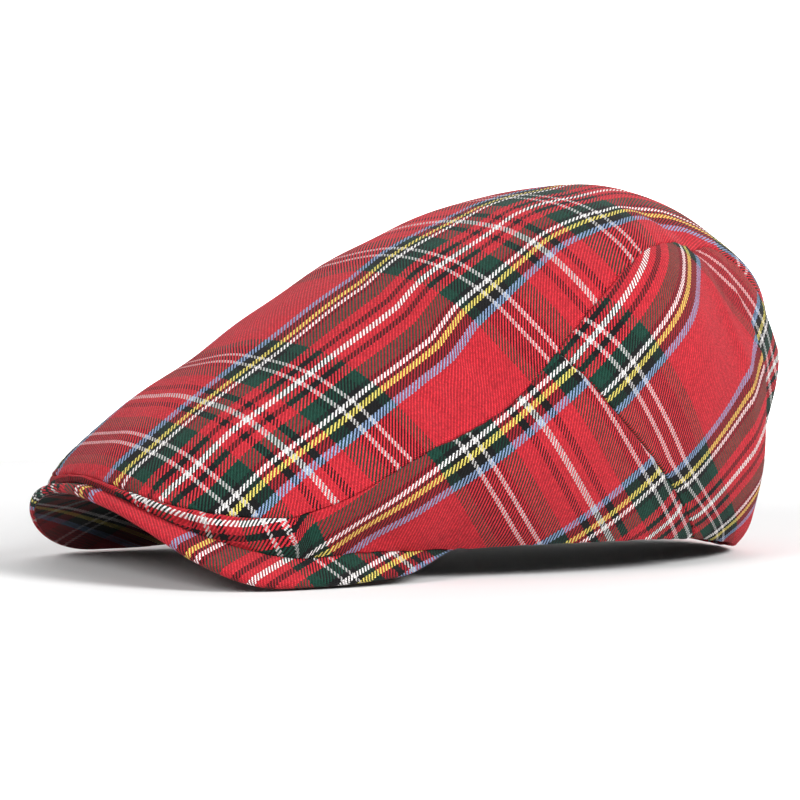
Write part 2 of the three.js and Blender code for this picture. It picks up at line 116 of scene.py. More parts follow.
STEEP_FROM, STEEP_OVER = 60.0, 15.0     # beyond this x the folds go in sideways too

# ---------------------------------------------------------------- small helpers


def smooth(x):
    x = np.clip(x, 0, 1)
    return x * x * (3 - 2 * x)


def mix(a, b, t):
    return a + (b - a) * t


def unit(v):
    return v / np.maximum(1e-9, np.linalg.norm(v, axis=-1, keepdims=True))


def spline(at, values):
    """Natural cubic spline through rows of values, as a function of the station."""
    count = len(at)
    step = np.diff(at)
    system = np.eye(count)
    change = np.zeros_like(values)
    for i in range(1, count - 1):
        system[i, i - 1:i + 2] = step[i - 1], 2 * (step[i - 1] + step[i]), step[i]
        change[i] = 6 * ((values[i + 1] - values[i]) / step[i] - (values[i] - values[i - 1]) / step[i - 1])
    bend = np.linalg.solve(system, change)

    def at_station(x):
        x = np.asarray(x, float)
        i = np.clip(np.searchsorted(at, x) - 1, 0, count - 2)
        span = step[i][..., None]
        a = (at[i + 1] - x)[..., None] / span
        b = (x - at[i])[..., None] / span
        cubic = ((a ** 3 - a) * bend[i] + (b ** 3 - b) * bend[i + 1]) * span ** 2 / 6
        return a * values[i] + b * values[i + 1] + cubic
    return at_station


# ---------------------------------------------------------------- surfaces of the crown
rib_at = spline(RIBS[:, 0], RIBS[:, 1:])
wall_section_at = spline(WALL_SECTIONS[:, 0], WALL_SECTIONS[:, 1:])


def sweep_share(u, roundness, squareness):
    def rise(a):
        return 1 - (1 - a ** squareness) ** (1 / squareness)
    return rise(roundness * u) / rise(roundness)


def fold_depth(x, y):
    depth = 0
    for fold_x, fold_y, heading, length, width, deep in FOLDS:
        turn = math.radians(heading)
        dx, dy = x - fold_x, y - fold_y
        along = (dx * math.cos(turn) + dy * math.sin(turn)) / length
        across = (dy * math.cos(turn) - dx * math.sin(turn)) / width
        depth = depth + deep * np.exp(-along * along - across * across)
    return depth


def top_point(u, v):
    """The top panel: u from seam to seam, -1 to 1, and v from the front edge to the tongue's tip."""
    u, v = np.broadcast_arrays(np.asarray(u, float), np.asarray(v, float))
    mid_y, mid_z, seam_x, seam_y, seam_z, dome, dip, sweep = np.moveaxis(rib_at(v), -1, 0)
    side = np.abs(u)
    x = seam_x * u
    y = mid_y + (seam_y - mid_y) * sweep_share(side, sweep, FRONT_SQUARENESS)
    z = seam_z + (mid_z - seam_z) * (1 - side ** dome) - dip * DIP_SCALE * side ** 2 * (1 - side)
    fold = fold_depth(np.abs(x), y)
    sideways = np.sign(u) * smooth((np.abs(x) - STEEP_FROM) / STEEP_OVER)
    return np.stack([x - fold * sideways, y, z - fold], -1)


PROBE, CORNER_EASE = 0.002, 0.022
DRAWN_FROM, DRAWN_OVER = 0.60, 0.2
HEM_CURL, HEM_CURL_HEIGHT = 2.8, 10.0
WALL_SLACK, SLACK_FULL_BELOW, SLACK_OVER = 2.0, 40.0, 35.0


def top_normal(u, v):
    u = np.clip(u, -1 + 2 * PROBE, 1 - 2 * PROBE)
    v = np.clip(v, PROBE, 1 - PROBE)
    across = top_point(u + PROBE, v) - top_point(u - PROBE, v)
    along = top_point(u, v + PROBE) - top_point(u, v - PROBE)
    return unit(np.cross(across, along))


def edge_place(s):
    """The place on the top panel of a station on its edge, 0 in front to 1 behind."""
    s = np.asarray(s, float)
    behind = (1 - s) / (1 - AT_TONGUE)
    u = np.where(s < AT_CORNER, s / AT_CORNER, np.where(s < AT_TONGUE, 1.0, behind))
    beside = (s - AT_CORNER) / (AT_TONGUE - AT_CORNER)
    v = np.where(s < AT_CORNER, 0.0, np.where(s < AT_TONGUE, beside, 1.0))
    return u, v


def seam_point(s):
    return top_point(*edge_place(s))


def arch_z(x, y):
    x = np.clip(x, -100, 100)
    tail = np.clip((y - PEAK_CORNER_Y) / (JOINT_Y - PEAK_CORNER_Y), 0, 1)
    return CREST_Z - (ARCH_RADIUS - np.sqrt(ARCH_RADIUS ** 2 - x * x)) - PEAK_TAIL_SINK * tail ** 4


def hem_z(y):
    reach = np.minimum(1, np.abs((y - HEM_MIDDLE_Y) / (HEM_REST_Y - HEM_MIDDLE_Y)))
    return HEM_RISE * (1 - reach ** HEM_POWER)


def foot_z(x, y, s):
    on_peak = arch_z(np.where(s > AT_JOINT, JOINT_X, x), y) + GAP
    return mix(on_peak, hem_z(y), smooth((s - AT_JOINT) / HEM_BLEND))


def bezier(a, b, c, d, t):
    return a * (1 - t) ** 3 + 3 * b * t * (1 - t) ** 2 + 3 * c * t * t * (1 - t) + d * t ** 3


def foot_plan(s):
    s = np.asarray(s, float)
    u = np.clip(s / AT_CORNER, 0, 1)
    front_x = FRONT_FOOT_X * u
    front_y = FRONT_Y + FRONT_DEPTH * sweep_share(u, FRONT_ROUNDNESS, FRONT_SQUARENESS)
    t = np.clip((s - AT_CORNER) / (AT_JOINT - AT_CORNER), 0, 1)
    corner_y = FRONT_Y + FRONT_DEPTH
    handle = unit(np.array([-OPENING_HALF_WIDTH * math.sin(TURN_FRONT),
                            OPENING_HALF_LENGTH * math.cos(TURN_FRONT)])) * JOINT_HANDLE
    flank_x = bezier(FRONT_FOOT_X, FRONT_FOOT_X + CORNER_BOW, JOINT_X - handle[0], JOINT_X, t)
    swell = FLANK_SWELL * np.exp(-((s - FLANK_AT) / FLANK_SPREAD) ** 2)
    flank_y = bezier(corner_y, corner_y + CORNER_HANDLE, JOINT_Y - handle[1], JOINT_Y, t)
    turn = mix(TURN_FRONT, math.pi / 2, np.clip((s - AT_JOINT) / (1 - AT_JOINT), 0, 1))
    hem_x = OPENING_HALF_WIDTH * np.cos(turn)
    hem_y = OPENING_Y + OPENING_HALF_LENGTH * np.sin(turn)
    x = np.where(s < AT_CORNER, front_x, np.where(s < AT_JOINT, flank_x, hem_x))
    y = np.where(s < AT_CORNER, front_y, np.where(s < AT_JOINT, flank_y, hem_y))
    return x + swell, y


def foot_point(s):
    x, y = foot_plan(s)
    return np.stack([x, y, foot_z(x, y, s)], -1)


def line_direction(line, s):
    return unit(line(np.minimum(1, s + PROBE)) - line(np.maximum(0, s - PROBE)))


def seam_direction(s):
    """Along the top seam, turning evenly round the corner of the tongue."""
    reach = PROBE + CORNER_EASE * np.exp(-((s - AT_TONGUE) / CORNER_EASE) ** 2)
    return unit(seam_point(np.minimum(1, s + reach)) - seam_point(np.maximum(0, s - reach)))


def foot_outward(s):
    along = line_direction(foot_point, s)
    return unit(np.stack([along[..., 1], -along[..., 0], 0 * along[..., 0]], -1))


def lip_share(s):
    """1 on the low upright lip in front, fading to 0 where the wall turns into the top panel."""
    return 1 - smooth((s - LIP_FROM) / LIP_OVER)


def drawn_in(s, height):
    """How far the back of the cap is drawn in, by the height above the hem: the turned hem
    curls under, and the wall above it hangs a little slack."""
    behind = smooth((s - DRAWN_FROM) / DRAWN_OVER)
    curl = HEM_CURL * np.clip(1 - height / HEM_CURL_HEIGHT, 0, 1) ** 2
    slack = WALL_SLACK * (1 - smooth((height - SLACK_FULL_BELOW) / SLACK_OVER))
    return behind * (curl + slack)


def wall_point(s, w):
    """The wall of the crown: s from the front to the back, w from the hem up to the top seam."""
    s, w = np.broadcast_arrays(np.asarray(s, float), np.asarray(w, float))
    lean, foot_handle, shoulder = np.moveaxis(wall_section_at(s), -1, 0)
    foot, seam, outward = foot_point(s), seam_point(s), foot_outward(s)
    lean = np.radians(lean)[..., None]
    rise = outward * np.sin(lean) + UP * np.cos(lean)
    over = unit(np.cross(seam_direction(s), top_normal(*edge_place(s))))
    down = unit(outward * LIP_OUTWARD - UP * LIP_DOWN)
    fall = unit(mix(over, down, lip_share(s)[..., None]))
    wall = bezier(foot, foot + rise * foot_handle[..., None],
                  seam + fall * shoulder[..., None], seam, w[..., None])
    inwards = drawn_in(s, wall[..., 2] - foot[..., 2]) * (1 - w ** 6)
    return wall - outward * inwards[..., None]


def slant_station(w):
    return mix(SLANT_TOP, SLANT_HEM, (1 - w) ** SLANT_BEND)


def side_point(a, w):
    return wall_point(a * slant_station(w), w)


def back_point(a, w):
    return wall_point(mix(slant_station(w), 1, a), w)


# ---------------------------------------------------------------- cloth laid flat
def lay_flat(points, rounds=60):
    """Lays a grid of points flat with the least stretch, as the piece was cut from the cloth.

    Each triangle is laid flat by itself and turned as a stiff piece (local step), then all of
    them are joined again by least squares (global step). The result is complex, x + iy.
    """
    count_a, count_b = points.shape[:2]
    index = np.arange(count_a * count_b).reshape(count_a, count_b)
    p, q, r, t = index[:-1, :-1], index[1:, :-1], index[1:, 1:], index[:-1, 1:]
    halves = ((p, q, r), (p, r, t), (p, q, t), (q, r, t))
    corners = np.concatenate([np.stack(half, -1).reshape(-1, 3) for half in halves])
    xyz = points.reshape(-1, 3)
    a, b, c = (xyz[corners[:, k]] for k in range(3))
    twice_area = np.linalg.norm(np.cross(b - a, c - a), axis=1)
    solid = twice_area > 1e-6
    corners, a, b, c, twice_area = corners[solid], a[solid], b[solid], c[solid], twice_area[solid]
    base = np.linalg.norm(b - a, axis=1)
    tip = ((c - a) * (b - a)).sum(1) / base + 1j * twice_area / base
    local = np.stack([0 * tip, base + 0j, tip], 1)
    count = len(xyz)
    system = np.zeros((count, count))
    edges = []
    for k in range(3):
        i, j, o = k, (k + 1) % 3, (k + 2) % 3
        corner = (local[:, i] - local[:, o]) * (local[:, j] - local[:, o]).conj()
        weight = np.clip(corner.real / np.maximum(1e-9, np.abs(corner.imag)), 0.05, 20)
        start, end = corners[:, i], corners[:, j]
        edges.append((start, end, local[:, j] - local[:, i], weight))
        np.add.at(system, (start, start), weight)
        np.add.at(system, (end, end), weight)
        np.add.at(system, (start, end), -weight)
        np.add.at(system, (end, start), -weight)
    system[0, 0] += 1e6
    inverse = np.linalg.inv(system)

    def run_length(line):
        return np.concatenate([[0], np.cumsum(np.linalg.norm(np.diff(line, axis=0), axis=1))])
    along_a, along_b = run_length(points[:, count_b // 2]), run_length(points[count_a // 2])
    z = (along_a[:, None] + 1j * along_b[None]).ravel()
    for _ in range(rounds):
        turn = sum(weight * (z[j] - z[i]) * e.conj() for i, j, e, weight in edges)
        turn = turn / np.maximum(1e-12, np.abs(turn))
        pull = np.zeros(count, complex)
        for i, j, e, weight in edges:
            np.add.at(pull, j, weight * turn * e)
            np.add.at(pull, i, -weight * turn * e)
        z = inverse @ pull
    return z.reshape(count_a, count_b)


def flat_map(surface, stations_a, stations_b, base, tip):
    """A function from a place on a surface to the cloth laid flat, with base to tip along +y."""
    a, b = np.meshgrid(stations_a, stations_b, indexing="ij")
    z = lay_flat(surface(a, b))
    z = z - z[base]
    z = z * 1j * abs(z[tip]) / z[tip]
    flat = np.stack([z.real, z.imag], -1)

    def at_place(a, b):
        """a and b are the stations of a grid."""
        rows = spline(stations_a, flat.reshape(len(stations_a), -1))(a).reshape(len(a), -1, 2)
        columns = spline(stations_b, rows.transpose(1, 0, 2).reshape(len(stations_b), -1))(b)
        return columns.reshape(len(b), len(a), 2).transpose(1, 0, 2)
    return at_place


# ---------------------------------------------------------------- meshes
def make_mesh(name, points, faces, uv, material):
    """A mesh of points in millimetres, with the cloth's own coordinates as its UV map."""
    mesh = bpy.data.meshes.new(name)
    mesh.from_pydata((points * MM).tolist(), [], faces)
    layer = mesh.uv_layers.new(name="cloth")
    corner_points = np.empty(len(mesh.loops), dtype=np.int32)
    mesh.loops.foreach_get("vertex_index", corner_points)
    layer.data.foreach_set("uv", uv[corner_points].astype(np.float32).ravel())
    mesh.polygons.foreach_set("use_smooth", np.ones(len(mesh.polygons), dtype=bool))
    mesh.materials.append(material)
    mesh.validate()
    mesh.update()
    piece = bpy.data.objects.new(name, mesh)
    bpy.context.scene.collection.objects.link(piece)
    return piece


def grid_faces(rows, columns, first=0, closed=False):
    """Quads between the points of a grid, whose first index is the row."""
    index = first + np.arange(rows * columns).reshape(rows, columns)
    if closed:
        index = np.concatenate([index, index[:1]])
    quads = np.stack([index[:-1, :-1], index[1:, :-1], index[1:, 1:], index[:-1, 1:]], -1)
    return quads.reshape(-1, 4)


def stations(length, near=(0, 0.12, 0.3, 0.55, 0.85, 1.2, 1.7, 2.4, 3.3), step=1.6):
    """Stations from 0 to 1 along a length in millimetres, closer together at both ends."""
    near = np.array(near)
    middle = np.linspace(near[-1], length - near[-1], int((length - 2 * near[-1]) / step) + 2)
    return np.concatenate([near[:-1], middle, (length - near[:-1])[::-1]]) / length


def run_lengths(points, axis):
    """Length run along each line of a grid, from its first point and to its last."""
    steps = np.linalg.norm(np.diff(points, axis=axis), axis=-1)
    run = np.cumsum(steps, axis=axis)
    zero = np.zeros_like(np.take(run, [0], axis=axis))
    run = np.concatenate([zero, run], axis=axis)
    return run, np.take(run, [-1], axis=axis) - run


def grid_normals(points):
    da = np.gradient(points, axis=0)
    db = np.gradient(points, axis=1)
    return unit(np.cross(da, db))


def ripple(points, seed, wavelength, waves=24):
    """A smooth random height of about -1 to 1 at each point, the same on every run."""
    rng = np.random.default_rng(seed)
    height = np.zeros(points.shape[:-1])
    for _ in range(waves):
        heading = unit(rng.normal(size=3))
        length = wavelength * rng.uniform(0.7, 1.6)
        height += np.sin(points @ heading * (2 * math.pi / length) + rng.uniform(0, 2 * math.pi))
    return height / math.sqrt(waves / 2)


# ---------------------------------------------------------------- cloth panels
SEAM_ROUND = 1.3                # the cloth turns down into a seam over this distance
SEAM_VALLEY, VALLEY_WIDTH = 0.55, 4.5
PUCKER, PUCKER_LENGTH, PUCKER_WIDTH = 0.16, 7.0, 5.0
SLACK, SLACK_LENGTH = 0.45, 46.0


def seam_drop(distance):
    """How far the cloth sinks below its smooth surface at a distance from a seam."""
    near = np.clip(1 - distance / SEAM_ROUND, 0, 1)
    turn_down = SEAM_ROUND * (1 - np.sqrt(1 - near * near))
    return turn_down + SEAM_VALLEY * np.exp(-(distance / VALLEY_WIDTH) ** 2)


def cloth_panel(name, points, normals, uv, sewn):
    """A panel of cloth as a closed shell. sewn says how strongly each of its four edges is
    drawn into a seam: first and last along a, first and last along b. 0 is a turned hem."""
    to_edges = [*run_lengths(points, 0), *run_lengths(points, 1)]
    drop = np.zeros(points.shape[:2])
    for distance, is_sewn in zip(to_edges, sewn):
        if is_sewn:
            pucker = is_sewn * (1 + 0.22 * ripple(points, 7, PUCKER_LENGTH))
            drop = np.maximum(drop, seam_drop(distance) * pucker)
        else:
            near = np.clip(1 - distance / (CLOTH / 2), 0, 1)
            drop = np.maximum(drop, CLOTH / 2 * (1 - np.sqrt(1 - near * near)))
    to_seam = np.min(to_edges, axis=0)
    slack = SLACK * ripple(points, 3, SLACK_LENGTH) * smooth(to_seam / 12)
    pucker = PUCKER * ripple(points, 5, PUCKER_LENGTH) * np.exp(-(to_seam / PUCKER_WIDTH) ** 2)
    outer = points + normals * (slack + pucker - drop)[..., None]
    depth = np.where(drop > 0.6, 0.8, CLOTH)
    inner = points - normals * np.maximum(CLOTH, drop + depth)[..., None]
    rows, columns = points.shape[:2]
    count = rows * columns
    outside = grid_faces(rows, columns)
    inside = grid_faces(rows, columns, first=count)[:, ::-1]
    index = np.arange(count).reshape(rows, columns)
    rim = np.concatenate([index[:, 0], index[-1, 1:], index[-2::-1, -1], index[0, -2:0:-1]])
    after = np.roll(rim, -1)
    edge = np.stack([rim, rim + count, after + count, after], -1)
    faces = np.concatenate([outside, inside, edge])
    both = np.concatenate([outer.reshape(-1, 3), inner.reshape(-1, 3)])
    flat = np.concatenate([uv.reshape(-1, 2)] * 2)
    return make_mesh(name, both, faces.tolist(), flat, tartan)


def mirror(grid):
    """The same grid on the other side of the cap, with its faces still pointing out."""
    flipped = grid * np.array([-1.0, 1.0, 1.0])
    return flipped[::-1]


def wall_normal(s, w):
    s = np.clip(s, PROBE, 1 - PROBE)
    w = np.clip(w, PROBE, 1 - PROBE)
    across = wall_point(s + PROBE, w) - wall_point(s - PROBE, w)
    along = wall_point(s, w + PROBE) - wall_point(s, w - PROBE)
    return unit(np.cross(across, along))


def seam_normal(s):
    """The direction that both cloths turn in from on the seam round the top panel."""
    shared = unit(top_normal(*edge_place(s)) + wall_normal(s, np.ones_like(s)))
    middle = (s < PROBE) | (s > 1 - PROBE)
    shared[..., 0] = np.where(middle, 0, shared[..., 0])
    return unit(shared)


SEAM_TURN = 4.0                 # over this distance a panel's normal turns into the seam's


def toward_seam(normals, shared, distance):
    return unit(mix(normals, shared, smooth(1 - distance / SEAM_TURN)[..., None]))


# ---------------------------------------------------------------- how the tartan lies on each panel
# The cloth's own coordinates are millimetres across the warp and millimetres along it, both
# measured from a white pivot line. Each table gives (place on the flat panel, cloth coordinate).
WARP_HALF, WEFT_HALF = 53.6, 62.0
TOP_ACROSS = [(26, -19.6), (46.5, 0), (67, 19.6)]
TOP_ALONG = [(22, -25.2), (49, 0), (76.3, 25.2), (146.8, 98.8), (174, 124), (201.4, 149.2)]
# How far the lengthwise lines stray sideways along the top panel, and how far the cross lines
# lift towards its edges: the cloth was eased over the dome.
TOP_DRIFT = [(0, 5), (20, 5), (40, 3), (80, 2), (120, 0), (135, -5), (150, -8), (168, -13),
             (182, -18), (195, -20), (210, -22), (228, -31), (250, -39), (290, -50)]
TOP_LIFT = [(-100, -30), (-10, -15), (10, -9), (30, -4.5), (50, 0), (70, 2.5), (98, 3)]
TOP_LIFT_SHARE = [(10, 0.18), (23, 0.22), (50, 0.5), (75, 1)]
SIDE_TURN = 12.7
SIDE_ACROSS = [(-6, 19.6), (59.3, 87.6)]
SIDE_ALONG = [(-12.5, 25.2), (64, 98.8), (115.2, 149.2)]
BACK_TURN = 45.0
BACK_ACROSS = [(-14.5, 19.6), (45, 87.6), (63, 107.2)]
BACK_ALONG = [(13, 25.2), (98, 98.8)]
PEAK_TURN = 30.0
PEAK_PIVOT, PEAK_CROSS = 24.0, -78.8


def table_at(table, x):
    """A straight line between the rows of a table, going on beyond its ends."""
    table = np.array(table, float)
    at, value = table[:, 0], table[:, 1]
    i = np.clip(np.searchsorted(at, x) - 1, 0, len(at) - 2)
    slope = (value[i + 1] - value[i]) / (at[i + 1] - at[i])
    return value[i] + (x - at[i]) * slope


def top_cloth(flat):
    x, y = flat[..., 0], flat[..., 1]
    x = x - table_at(TOP_DRIFT, y)
    y = y - table_at(TOP_LIFT, x) * np.clip(table_at(TOP_LIFT_SHARE, y), 0, 1)
    return np.stack([table_at(TOP_ACROSS, x), table_at(TOP_ALONG, y)], -1)


def turned_cloth(flat, degrees, across, along):
    turn = math.radians(degrees)
    x, y = flat[..., 0], flat[..., 1]
    m = x * math.cos(turn) + y * math.sin(turn)
    n = y * math.cos(turn) - x * math.sin(turn)
    return np.stack([table_at(across, -n), table_at(along, m)], -1)


# ---------------------------------------------------------------- node graphs
class Graph:
    """Short names for the nodes of one material."""

    def __init__(self, name):
        self.material = bpy.data.materials.new(name)
        self.material.use_nodes = True
        self.tree = self.material.node_tree
        self.tree.nodes.clear()
        output = self.tree.nodes.new("ShaderNodeOutputMaterial")
        self.shader = self.tree.nodes.new("ShaderNodeBsdfPrincipled")
        self.tree.links.new(self.shader.outputs["BSDF"], output.inputs["Surface"])

    def put(self, socket, value):
        if hasattr(value, "is_linked"):
            self.tree.links.new(value, socket)
        else:
            socket.default_value = value

    def math(self, operation, a, b=0.0, c=0.0):
        node = self.tree.nodes.new("ShaderNodeMath")
        node.operation = operation
        for socket, value in zip(node.inputs, (a, b, c)):
            self.put(socket, value)
        return node.outputs[0]

    def cloth_place(self):
        node = self.tree.nodes.new("ShaderNodeUVMap")
        node.uv_map = "cloth"
        split = self.tree.nodes.new("ShaderNodeSeparateXYZ")
        self.tree.links.new(node.outputs["UV"], split.inputs[0])
        return split.outputs[0], split.outputs[1]

    def vector(self, x, y, z=0.0):
        node = self.tree.nodes.new("ShaderNodeCombineXYZ")
        for socket, value in zip(node.inputs, (x, y, z)):
            self.put(socket, value)
        return node.outputs[0]

    def noise(self, vector, scale, detail=2.0):
        node = self.tree.nodes.new("ShaderNodeTexNoise")
        self.put(node.inputs["Vector"], vector)
        self.put(node.inputs["Scale"], scale)
        self.put(node.inputs["Detail"], detail)
        return node.outputs[0]

    def chance(self, number, seed):
        """A random value from 0 to 1 for each whole number."""
        node = self.tree.nodes.new("ShaderNodeTexWhiteNoise")
        node.noise_dimensions = "2D"
        self.put(node.inputs["Vector"], self.vector(number, seed))
        return node.outputs["Value"]

    def stripes(self, place, bands, half):
        """The colour of a thread from a list of (threads, colour), mirrored at both ends."""
        node = self.tree.nodes.new("ShaderNodeValToRGB")
        ramp = node.color_ramp
        ramp.interpolation = "CONSTANT"
        edge = 0.0
        for order, (threads, colour) in enumerate(bands):
            stop = ramp.elements[0] if order == 0 else ramp.elements.new(edge / half)
            stop.position = edge / half
            stop.color = (*colour, 1)
            edge += threads * THREAD
        ramp.elements.remove(ramp.elements[len(ramp.elements) - 1])
        folded = self.math("PINGPONG", place, half)
        self.put(node.inputs[0], self.math("DIVIDE", folded, half))
        return node.outputs["Color"]

    def choose(self, factor, a, b):
        node = self.tree.nodes.new("ShaderNodeMix")
        node.data_type = "RGBA"
        self.put(node.inputs["Factor"], factor)
        self.put(node.inputs["A"], a)
        self.put(node.inputs["B"], b)
        return node.outputs["Result"]

    def scaled(self, colour, value):
        node = self.tree.nodes.new("ShaderNodeVectorMath")
        node.operation = "SCALE"
        self.put(node.inputs[0], colour)
        self.put(node.inputs["Scale"], value)
        return node.outputs[0]

    def bump(self, height, distance, strength=1.0):
        node = self.tree.nodes.new("ShaderNodeBump")
        self.put(node.inputs["Height"], height)
        self.put(node.inputs["Distance"], distance)
        self.put(node.inputs["Strength"], strength)
        return node.outputs[0]


# ---------------------------------------------------------------- tartan
THREAD = 0.4                    # one thread of the twill takes this width
RED = (0.56, 0.022, 0.035)
GREEN = (0.005, 0.048, 0.031)
BLACK = (0.005, 0.005, 0.006)
WHITE = (0.80, 0.77, 0.76)
YELLOW = (0.70, 0.58, 0.12)
BLUE = (0.21, 0.30, 0.48)
WARP = [(2.5, WHITE), (7, RED), (6, BLACK), (10, RED), (16, GREEN), (5, BLACK), (5, WHITE),
        (4, BLACK), (6, YELLOW), (10, BLACK), (8, BLUE), (54.5, RED)]
WEFT = [(2.5, WHITE), (7, RED), (7, BLACK), (16, RED), (16, GREEN), (6, BLACK), (4, WHITE),
        (9, BLACK), (4, WHITE), (15, BLACK), (11, GREEN), (57.5, RED)]


def tartan_material(name, painted_shade_factor):
    g = Graph(name)
    across, along = g.cloth_place()
    warp_turns = g.math("DIVIDE", across, THREAD)
    weft_turns = g.math("DIVIDE", along, THREAD)
    warp_number = g.math("FLOOR", warp_turns)
    weft_number = g.math("FLOOR", weft_turns)
    warp_middle = g.math("MULTIPLY_ADD", warp_number, THREAD, THREAD / 2)
    weft_middle = g.math("MULTIPLY_ADD", weft_number, THREAD, THREAD / 2)
    # The warp lies on top for two threads, then the weft, one step on at each thread.
    step = g.math("FLOORED_MODULO", g.math("ADD", warp_number, weft_number), 4.0)
    weft_on_top = g.math("GREATER_THAN", step, 1.5)
    warp_float = g.math("FLOORED_MODULO", g.math("ADD", warp_number, weft_turns), 4.0)
    weft_float = g.math("FLOORED_MODULO", g.math("ADD", weft_number, warp_turns), 4.0)
    weft_float = g.math("SUBTRACT", weft_float, 2.0)

    def arc(share):
        return g.math("SINE", g.math("MULTIPLY", share, math.pi))
    warp_shape = g.math("ADD", arc(g.math("MULTIPLY", warp_float, 0.5)),
                        arc(g.math("FRACT", warp_turns)))
    weft_shape = g.math("ADD", arc(g.math("MULTIPLY", weft_float, 0.5)),
                        arc(g.math("FRACT", weft_turns)))

    def pick(a, b):
        return g.math("MULTIPLY_ADD", g.math("SUBTRACT", b, a), weft_on_top, a)
    height = pick(warp_shape, weft_shape)
    warp_shade = g.chance(warp_number, 3.0)
    weft_shade = g.chance(weft_number, 8.0)
    slub_warp = g.noise(g.vector(g.math("MULTIPLY", warp_number, 1.7),
                                 g.math("MULTIPLY", along, 0.35)), 1.0)
    slub_weft = g.noise(g.vector(g.math("MULTIPLY", across, 0.35),
                                 g.math("MULTIPLY", weft_number, 1.7), 9.0), 1.0)
    shade = pick(warp_shade, weft_shade)
    slub = pick(slub_warp, slub_weft)
    wear = g.noise(g.vector(across, along, 4.0), 0.05, 3.0)
    bright = g.math("MULTIPLY_ADD", shade, 0.22, 0.73)
    bright = g.math("MULTIPLY_ADD", slub, 0.30, bright)
    bright = g.math("MULTIPLY_ADD", wear, 0.14, bright)
    fuzz = g.noise(g.vector(across, along, 6.0), 1.1, 2.0)
    bright = g.math("MULTIPLY_ADD", fuzz, 1.10, g.math("SUBTRACT", bright, 0.55))
    # Painted shade: each thread is darker towards its edges and ends, where it dips under its neighbours.
    bright = g.math("MULTIPLY", bright, g.math("MULTIPLY_ADD", height, 0.36, 0.48))
    # The warp stands proud of the weft, and the weft's deeper shade is painted into its colour.
    bright = g.math("MULTIPLY", bright, g.math("MULTIPLY_ADD", weft_on_top, -0.50, 1.19))
    warp_colour = g.stripes(warp_middle, WARP, WARP_HALF)
    weft_colour = g.stripes(weft_middle, WEFT, WEFT_HALF)
    colour = g.choose(weft_on_top, warp_colour, weft_colour)
    # Painted shade: the colour is darkened by this factor, 1 where none is painted.
    bright = g.math("MULTIPLY", bright, painted_shade_factor)
    g.put(g.shader.inputs["Base Color"], g.scaled(colour, bright))
    g.put(g.shader.inputs["Roughness"], g.math("MULTIPLY_ADD", slub, 0.2, 0.72))
    fibre = g.noise(g.vector(across, along, 2.0), 3.0, 3.0)
    relief = g.math("MULTIPLY_ADD", fibre, 0.8, height)
    relief = g.math("MULTIPLY_ADD", weft_on_top, -0.7, relief)
    g.put(g.shader.inputs["Normal"], g.bump(relief, 0.18 * MM))
    g.put(g.shader.inputs["Sheen Weight"], 0.04)
    g.put(g.shader.inputs["Sheen Roughness"], 0.5)
    g.put(g.shader.inputs["Specular IOR Level"], 0.15)
    return g.material


def band_material():
    """A black cotton band with a fine cross rib."""
    g = Graph("band")
    round_it, up_it = g.cloth_place()
    rib = g.math("ABSOLUTE", g.math("SINE", g.math("MULTIPLY", round_it, math.pi / 0.8)))
    weave = g.math("ABSOLUTE", g.math("SINE", g.math("MULTIPLY", up_it, math.pi / 0.45)))
    relief = g.math("MULTIPLY_ADD", weave, 0.4, rib)
    wear = g.noise(g.vector(round_it, up_it), 0.12, 3.0)
    # Painted shade: darker in the grooves of the rib; the wear noise is the band's own uneven tone.
    bright = g.math("MULTIPLY_ADD", wear, 0.8, g.math("MULTIPLY_ADD", rib, 0.35, 0.45))
    g.put(g.shader.inputs["Base Color"], g.scaled((0.022, 0.022, 0.024), bright))
    g.put(g.shader.inputs["Roughness"], g.math("MULTIPLY_ADD", wear, 0.2, 0.68))
    g.put(g.shader.inputs["Normal"], g.bump(relief, 0.12 * MM))
    g.put(g.shader.inputs["Sheen Weight"], 0.1)
    return g.material


def lining_material():
    """A black satin, whose floats run along the seams."""
    g = Graph("lining")
    x, y = g.cloth_place()
    thread = g.noise(g.vector(g.math("MULTIPLY", x, 5.0), g.math("MULTIPLY", y, 0.4)), 1.0)
    wear = g.noise(g.vector(x, y, 5.0), 0.06, 3.0)
    bright = g.math("MULTIPLY_ADD", thread, 0.5, g.math("MULTIPLY_ADD", wear, 0.5, 0.5))
    g.put(g.shader.inputs["Base Color"], g.scaled((0.026, 0.026, 0.029), bright))
    g.put(g.shader.inputs["Roughness"], g.math("MULTIPLY_ADD", thread, 0.18, 0.38))
    g.put(g.shader.inputs["Normal"], g.bump(thread, 0.05 * MM))
    return g.material


def stitch_material():
    g = Graph("stitch_thread")
    x, y = g.cloth_place()
    twist = g.math("SINE", g.math("MULTIPLY", g.math("ADD", x, y), 14.0))
    # Painted shade: darker in the grooves of the twist.
    g.put(g.shader.inputs["Base Color"],
          g.scaled((0.035, 0.035, 0.038), g.math("MULTIPLY_ADD", twist, 0.2, 0.8)))
    g.put(g.shader.inputs["Roughness"], g.math("MULTIPLY_ADD", twist, 0.05, 0.55))
    g.put(g.shader.inputs["Normal"], g.bump(twist, 0.04 * MM))
    return g.material


UNDERSIDE_PAINTED_SHADE = 0.35            # painted shade: the peak's underside is the same cloth, darkened to this share
tartan = tartan_material("tartan", 1.0)
tartan_painted_shade = tartan_material("tartan_painted_shade", UNDERSIDE_PAINTED_SHADE)
band_cloth = band_material()
lining_cloth = lining_material()
stitch_thread = stitch_material()

# ---------------------------------------------------------------- top panel
TOP_WIDTH, TOP_LENGTH = 205.0, 290.0
SIDE_LENGTH, SIDE_HEIGHT = 300.0, 85.0
BACK_LENGTH, BACK_HEIGHT = 115.0, 95.0


